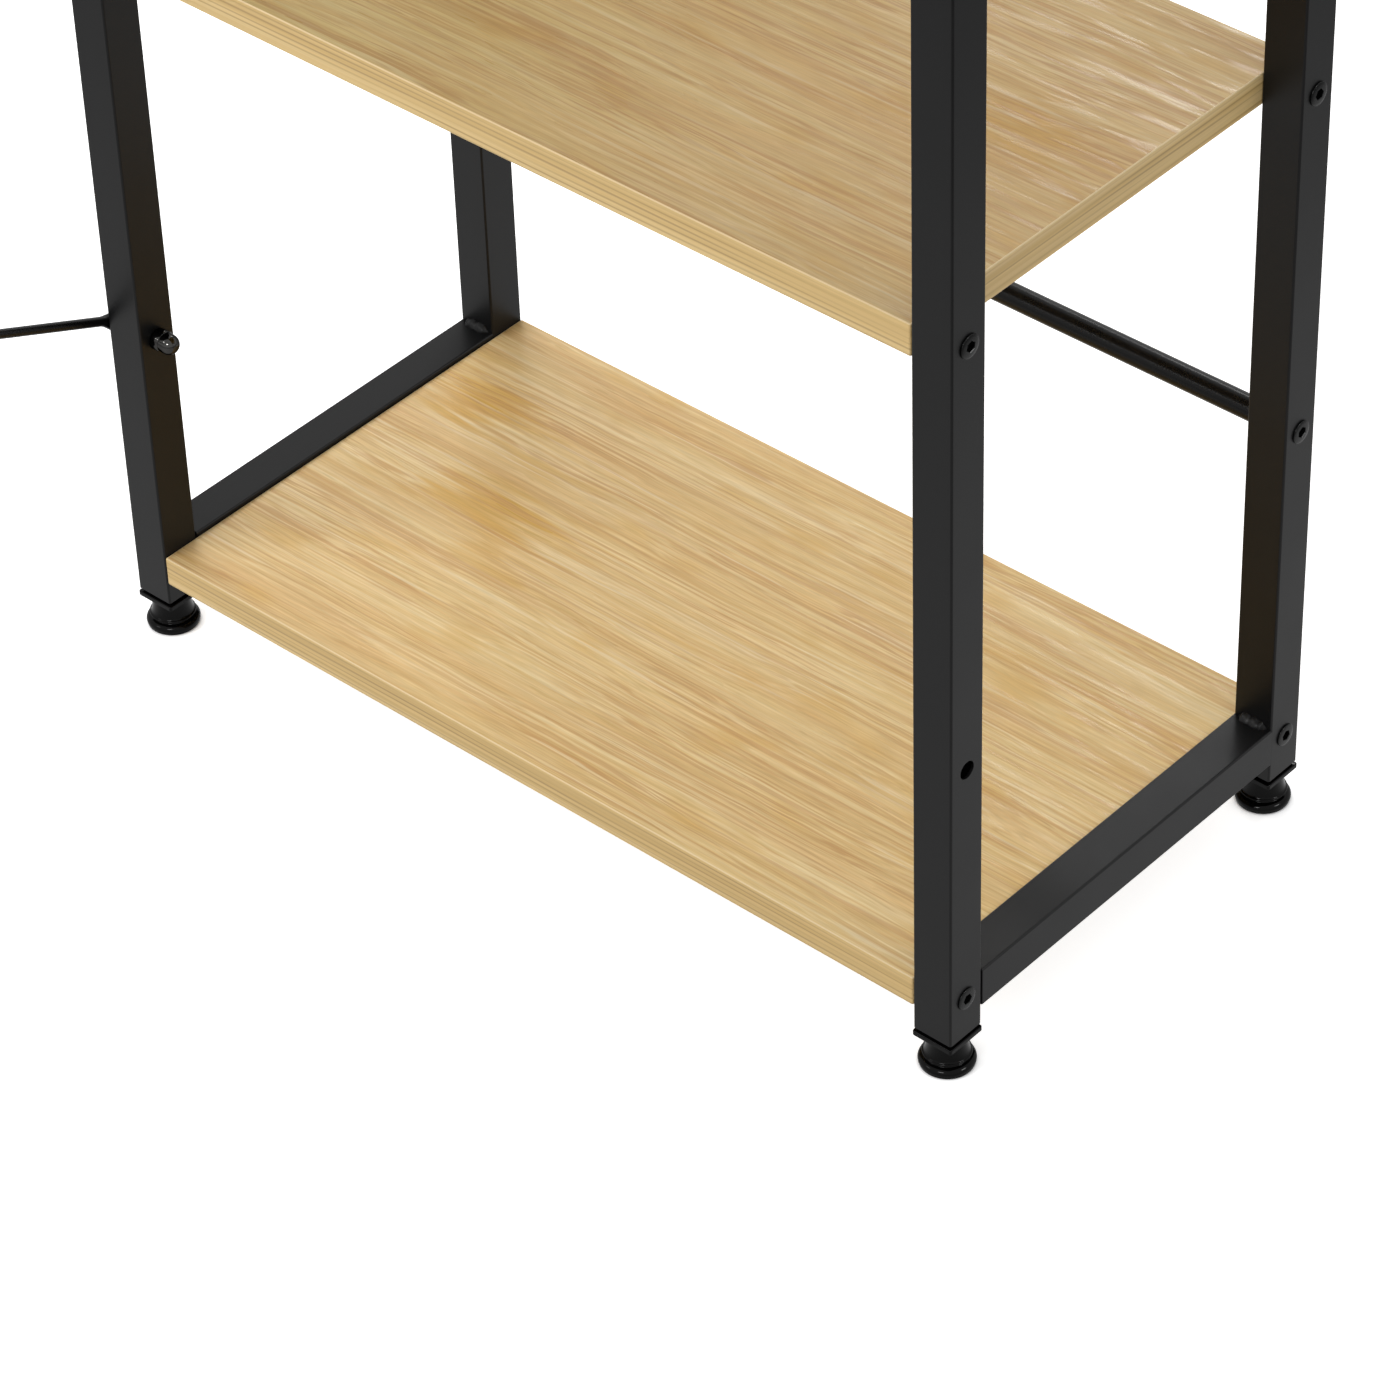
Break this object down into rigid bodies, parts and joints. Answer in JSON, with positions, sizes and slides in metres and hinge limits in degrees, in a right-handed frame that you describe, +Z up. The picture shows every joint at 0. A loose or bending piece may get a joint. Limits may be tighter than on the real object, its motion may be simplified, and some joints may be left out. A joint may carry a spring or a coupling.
{
  "type": "desk shelf tower",
  "caption": "Floor-standing shelf tower of a desk: black square-tube side frames carry oak-faced boards, with a round stretcher, a tie link and screw-in levelling feet.",
  "frame": {"origin": "on the floor, under the middle of the whole part's box", "axes": "+Z up, -Y the front with the tie link, +X towards the right side frame"},
  "size_m": [0.4872, 0.3231, 0.711],
  "materials": {
    "black_powder_coat": "satin black powder coat on steel",
    "oak_laminate": "light oak laminate on particle board",
    "black_plastic": "moulded black plastic",
    "black_bolt_steel": "black oxide steel",
    "black_chrome": "black chrome",
    "zinc_sleeve": "zinc plated"
  },
  "bodies": {
    "frame": {"leg_front_left": "black_powder_coat", "leg_back_left": "black_powder_coat", "leg_front_right": "black_powder_coat", "leg_back_right": "black_powder_coat", "bottom_rail_left": "black_powder_coat", "top_rail_left": "black_powder_coat", "bottom_rail_right": "black_powder_coat", "top_rail_right": "black_powder_coat", "lower_shelf": "oak_laminate", "middle_shelf": "oak_laminate", "top_board": "oak_laminate", "lower_shelf_bolt_front_left": "black_bolt_steel", "lower_shelf_sleeve_front_left": "zinc_sleeve", "lower_shelf_bolt_back_left": "black_bolt_steel", "lower_shelf_sleeve_back_left": "zinc_sleeve", "lower_shelf_bolt_front_right": "black_bolt_steel", "lower_shelf_sleeve_front_right": "zinc_sleeve", "lower_shelf_bolt_back_right": "black_bolt_steel", "lower_shelf_sleeve_back_right": "zinc_sleeve", "middle_shelf_bolt_front_left": "black_bolt_steel", "middle_shelf_sleeve_front_left": "zinc_sleeve", "middle_shelf_bolt_back_left": "black_bolt_steel", "middle_shelf_sleeve_back_left": "zinc_sleeve", "middle_shelf_bolt_front_right": "black_bolt_steel", "middle_shelf_sleeve_front_right": "zinc_sleeve", "middle_shelf_bolt_back_right": "black_bolt_steel", "middle_shelf_sleeve_back_right": "zinc_sleeve", "top_screw_front_left": "black_bolt_steel", "top_screw_back_left": "black_bolt_steel", "top_screw_front_right": "black_bolt_steel", "top_screw_back_right": "black_bolt_steel", "stretcher": "black_powder_coat", "stretcher_bolt_left": "black_bolt_steel", "stretcher_bolt_right": "black_bolt_steel", "tie_link": "black_powder_coat", "tie_bolt": "black_bolt_steel", "tie_cap_nut": "black_chrome", "foot_plug_front_left": "black_plastic", "foot_plug_back_left": "black_plastic", "foot_plug_front_right": "black_plastic", "foot_plug_back_right": "black_plastic"},
    "stud_front_left": {"foot_stud_front_left": "zinc_sleeve"},
    "foot_front_left": {"foot_base_front_left": "black_plastic"},
    "stud_back_left": {"foot_stud_back_left": "zinc_sleeve"},
    "foot_back_left": {"foot_base_back_left": "black_plastic"},
    "stud_front_right": {"foot_stud_front_right": "zinc_sleeve"},
    "foot_front_right": {"foot_base_front_right": "black_plastic"},
    "stud_back_right": {"foot_stud_back_right": "zinc_sleeve"},
    "foot_back_right": {"foot_base_back_right": "black_plastic"}
  },
  "joints": [
    {"name": "stud_travel_front_left", "type": "slide", "parent": "frame", "child": "stud_front_left", "axis": [0, 0, -1], "range_m": [0, 0.00601]},
    {"name": "foot_turn_front_left", "type": "hinge", "parent": "stud_front_left", "child": "foot_front_left", "pos_m": [-0.22883, -0.06883, 0.008], "axis": [0, 0, -1], "range_deg": [0, 2160]},
    {"name": "stud_travel_back_left", "type": "slide", "parent": "frame", "child": "stud_back_left", "axis": [0, 0, -1], "range_m": [0, 0.00601]},
    {"name": "foot_turn_back_left", "type": "hinge", "parent": "stud_back_left", "child": "foot_back_left", "pos_m": [-0.22883, 0.14917, 0.008], "axis": [0, 0, -1], "range_deg": [0, 2160]},
    {"name": "stud_travel_front_right", "type": "slide", "parent": "frame", "child": "stud_front_right", "axis": [0, 0, -1], "range_m": [0, 0.00601]},
    {"name": "foot_turn_front_right", "type": "hinge", "parent": "stud_front_right", "child": "foot_front_right", "pos_m": [0.23117, -0.06883, 0.008], "axis": [0, 0, -1], "range_deg": [0, 2160]},
    {"name": "stud_travel_back_right", "type": "slide", "parent": "frame", "child": "stud_back_right", "axis": [0, 0, -1], "range_m": [0, 0.00601]},
    {"name": "foot_turn_back_right", "type": "hinge", "parent": "stud_back_right", "child": "foot_back_right", "pos_m": [0.23117, 0.14917, 0.008], "axis": [0, 0, -1], "range_deg": [0, 2160]}
  ],
  "couplings": [
    {"joint": "stud_travel_front_left", "follows": "foot_turn_front_left", "m_per_rad": 0.00015915},
    {"joint": "stud_travel_back_left", "follows": "foot_turn_back_left", "m_per_rad": 0.00015915},
    {"joint": "stud_travel_front_right", "follows": "foot_turn_front_right", "m_per_rad": 0.00015915},
    {"joint": "stud_travel_back_right", "follows": "foot_turn_back_right", "m_per_rad": 0.00015915}
  ]
}
